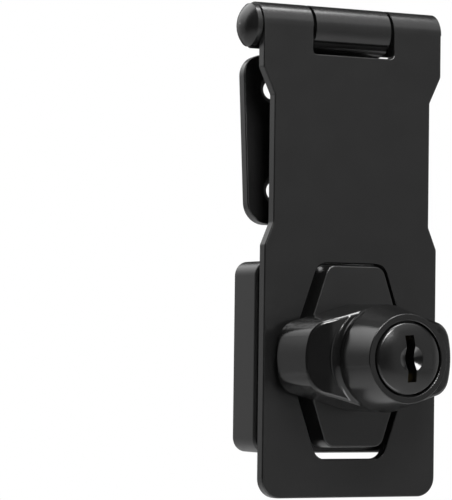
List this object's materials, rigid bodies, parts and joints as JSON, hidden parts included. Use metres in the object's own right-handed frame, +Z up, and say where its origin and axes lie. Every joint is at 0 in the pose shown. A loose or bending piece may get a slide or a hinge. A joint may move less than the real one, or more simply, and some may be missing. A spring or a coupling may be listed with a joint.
{
  "type": "keyed hasp lock",
  "caption": "Black keyed hasp lock: a slotted hinged hasp closes over a cast base, and a winged knob with a key plug turns across its window to hold it shut.",
  "frame": {"origin": "on the door plane behind the lock base, on the axis of the knob", "axes": "+Z up along the hasp towards the hinge, +Y into the door, the knob faces -Y"},
  "size_m": [0.0469, 0.0377, 0.1022],
  "materials": {
    "black_plate": "satin black powder coat on stamped steel",
    "black_casting": "satin black paint on cast zinc",
    "black_knob": "half-gloss black paint on cast zinc",
    "plug_black": "satin black, smooth domed face",
    "brass": "plain stamped",
    "zinc": "dull cast",
    "bright_steel": "zinc plated",
    "spring_steel": "plain spring steel"
  },
  "bodies": {
    "hasp_and_base": {"hasp_leaf": "black_plate", "hinge_pin": "black_plate", "lock_base": "black_casting", "curved_washer": "spring_steel"},
    "hinge_leaf": {"hinge_leaf": "black_plate"},
    "knob": {"knob": "black_knob", "stop_washer": "bright_steel", "circlip": "spring_steel"},
    "key_plug": {"key_plug": "plug_black", "retaining_wafer": "brass", "plug_cam": "zinc", "cam_screw": "bright_steel", "wafer_spring_1": "spring_steel", "wafer_spring_2": "spring_steel", "wafer_spring_3": "spring_steel", "wafer_spring_4": "spring_steel", "wafer_spring_5": "spring_steel"},
    "locking_bolt": {"locking_bolt": "bright_steel"},
    "wafer_1": {"wafer_1": "brass"},
    "wafer_2": {"wafer_2": "brass"},
    "wafer_3": {"wafer_3": "brass"},
    "wafer_4": {"wafer_4": "brass"},
    "wafer_5": {"wafer_5": "brass"}
  },
  "joints": [
    {"name": "hinge_swing", "type": "hinge", "parent": "hasp_and_base", "child": "hinge_leaf", "pos_m": [0, -0.0083, 0.0684], "axis": [1, 0, 0], "range_deg": [-6, 185]},
    {"name": "knob_turn", "type": "hinge", "parent": "hasp_and_base", "child": "knob", "pos_m": [0, 0, 0], "axis": [0, 1, 0], "range_deg": [0, 90]},
    {"name": "key_turn", "type": "hinge", "parent": "knob", "child": "key_plug", "pos_m": [0, 0, 0], "axis": [0, 1, 0], "range_deg": [0, 90]},
    {"name": "bolt_slide", "type": "slide", "parent": "knob", "child": "locking_bolt", "axis": [0, 0, -1], "range_m": [0, 0.0013]},
    {"name": "wafer_1_drop", "type": "slide", "parent": "key_plug", "child": "wafer_1", "axis": [0.0785, 0, -0.9969], "range_m": [0, 0.0009], "deforming": ["wafer_spring_1"]},
    {"name": "wafer_2_drop", "type": "slide", "parent": "key_plug", "child": "wafer_2", "axis": [0.0785, 0, -0.9969], "range_m": [0, 0.0009], "deforming": ["wafer_spring_2"]},
    {"name": "wafer_3_drop", "type": "slide", "parent": "key_plug", "child": "wafer_3", "axis": [0.0785, 0, -0.9969], "range_m": [0, 0.0009], "deforming": ["wafer_spring_3"]},
    {"name": "wafer_4_drop", "type": "slide", "parent": "key_plug", "child": "wafer_4", "axis": [0.0785, 0, -0.9969], "range_m": [0, 0.0009], "deforming": ["wafer_spring_4"]},
    {"name": "wafer_5_drop", "type": "slide", "parent": "key_plug", "child": "wafer_5", "axis": [0.0785, 0, -0.9969], "range_m": [0, 0.0009], "deforming": ["wafer_spring_5"]}
  ],
  "couplings": [
    {"joint": "bolt_slide", "follows": "key_turn", "m_per_rad": 0.00082761}
  ]
}
